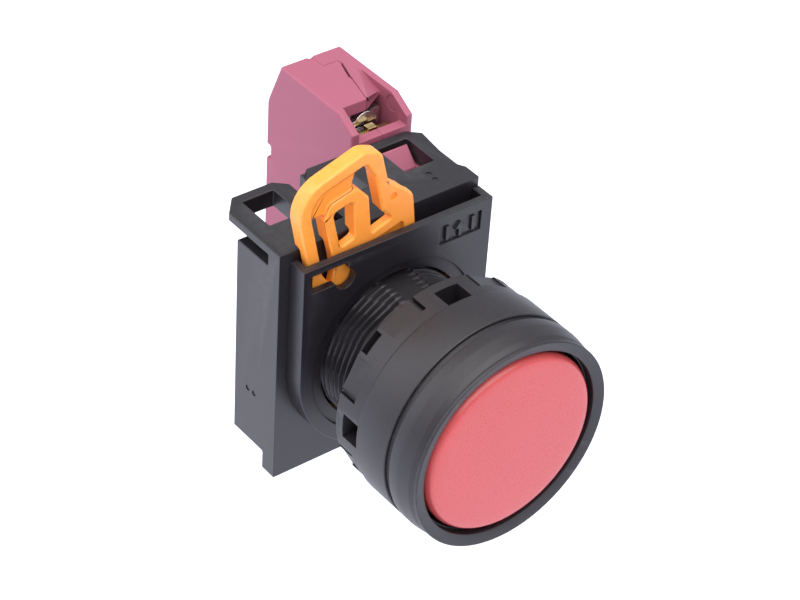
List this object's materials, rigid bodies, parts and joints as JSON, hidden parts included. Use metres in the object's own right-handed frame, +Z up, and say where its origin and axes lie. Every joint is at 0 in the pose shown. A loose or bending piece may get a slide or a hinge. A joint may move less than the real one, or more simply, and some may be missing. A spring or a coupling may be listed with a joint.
{
  "type": "industrial push button",
  "caption": "Flush round push button for a 22 mm panel hole, with lock ring, mounting adaptor, locking lever and a contact block.",
  "frame": {"origin": "where the button's axis crosses the front face of the panel, at the back of the bezel", "axes": "+X right, +Y back through the panel, +Z up; the button faces -Y"},
  "size_m": [0.0321, 0.0605, 0.0542],
  "materials": {
    "black_satin_plastic": "satin, fine texture",
    "black_plastic": "matt, fine texture",
    "black_rubber": "matt",
    "red_plastic": "smooth semi-gloss",
    "grey_plastic": "satin",
    "spring_steel": "drawn wire",
    "orange_plastic": "semi-gloss",
    "magenta_plastic": "satin",
    "brass": "plain",
    "silver_contact": "fine",
    "plated_steel": "zinc plated"
  },
  "bodies": {
    "housing": {"bezel_ring": "black_satin_plastic", "operator_body": "black_satin_plastic", "panel_gasket": "black_rubber", "return_spring": "spring_steel", "adaptor_body": "black_plastic", "front_frame": "black_plastic", "block_housing_left": "magenta_plastic", "block_housing_right": "magenta_plastic", "plunger_spring": "spring_steel", "upper_terminal": "brass", "lower_terminal": "brass", "fixed_contacts": "silver_contact"},
    "button": {"button_cap": "red_plastic", "cap_seal": "black_rubber", "actuator_stem": "grey_plastic", "pusher_foot": "grey_plastic"},
    "lock_ring": {"lock_ring": "black_satin_plastic"},
    "lever": {"locking_lever": "orange_plastic"},
    "plunger": {"contact_plunger": "grey_plastic"},
    "bridge": {"contact_bridge": "brass", "bridge_contacts": "silver_contact", "bridge_spring": "spring_steel"},
    "upper_clamp": {"upper_clamp": "plated_steel"},
    "upper_screw": {"upper_screw": "plated_steel"},
    "lower_clamp": {"lower_clamp": "plated_steel"},
    "lower_screw": {"lower_screw": "plated_steel"}
  },
  "joints": [
    {"name": "button_press", "type": "slide", "parent": "housing", "child": "button", "axis": [0, 1, 0], "range_m": [0, 0.004], "stiffness_N_per_m": 600, "springref_m": -0.006, "deforming": ["return_spring"]},
    {"name": "plunger_slide", "type": "slide", "parent": "housing", "child": "plunger", "axis": [0, 1, 0], "range_m": [0, 0.004], "deforming": ["plunger_spring"]},
    {"name": "bridge_slide", "type": "slide", "parent": "housing", "child": "bridge", "axis": [0, 1, 0], "range_m": [0, 0.0024], "deforming": ["bridge_spring"]},
    {"name": "lever_turn", "type": "hinge", "parent": "housing", "child": "lever", "pos_m": [0, 0.0145, 0], "axis": [0, 1, 0], "range_deg": [0, 30]},
    {"name": "ring_advance", "type": "slide", "parent": "housing", "child": "lock_ring", "axis": [0, 1, 0], "range_m": [0, 0.006]},
    {"name": "upper_clamp_slide", "type": "slide", "parent": "housing", "child": "upper_clamp", "axis": [0, 1, 0], "range_m": [0, 0.0015]},
    {"name": "upper_screw_turn", "type": "hinge", "parent": "upper_clamp", "child": "upper_screw", "pos_m": [0.00985, 0.035, 0.0164], "axis": [0, 1, 0], "range_deg": [0, 1080]},
    {"name": "lower_clamp_slide", "type": "slide", "parent": "housing", "child": "lower_clamp", "axis": [0, 1, 0], "range_m": [0, 0.0015]},
    {"name": "lower_screw_turn", "type": "hinge", "parent": "lower_clamp", "child": "lower_screw", "pos_m": [0.00985, 0.035, -0.0164], "axis": [0, 1, 0], "range_deg": [0, 1080]}
  ],
  "couplings": [
    {"joint": "plunger_slide", "follows": "button_press", "ratio": 1},
    {"joint": "bridge_slide", "follows": "button_press", "ratio": 0.6},
    {"joint": "upper_screw_turn", "follows": "upper_clamp_slide", "rad_per_m": 12566},
    {"joint": "lower_screw_turn", "follows": "lower_clamp_slide", "rad_per_m": 12566}
  ]
}
